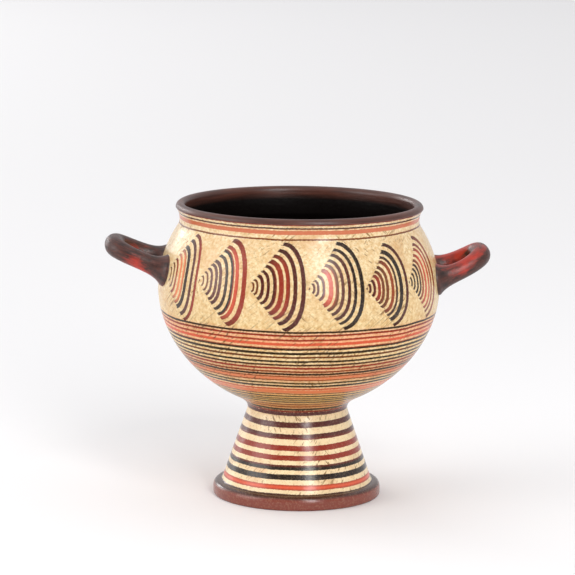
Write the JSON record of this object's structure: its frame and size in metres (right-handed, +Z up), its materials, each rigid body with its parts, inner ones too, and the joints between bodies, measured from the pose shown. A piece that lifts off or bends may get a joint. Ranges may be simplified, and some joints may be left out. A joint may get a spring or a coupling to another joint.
{
  "type": "krater",
  "caption": "Small painted earthenware krater: round bowl on a hollow conical foot, rolled lip and horizontal loop handles.",
  "frame": {"origin": "centre of the foot ring's underside, on the vessel's axis", "axes": "+Z up along the vessel's axis, +X through the right handle of the painted front, -Y towards the front"},
  "size_m": [0.2594, 0.1892, 0.1992],
  "materials": {
    "painted_clay": "satin"
  },
  "bodies": {
    "root": {"krater": "painted_clay"}
  },
  "joints": []
}
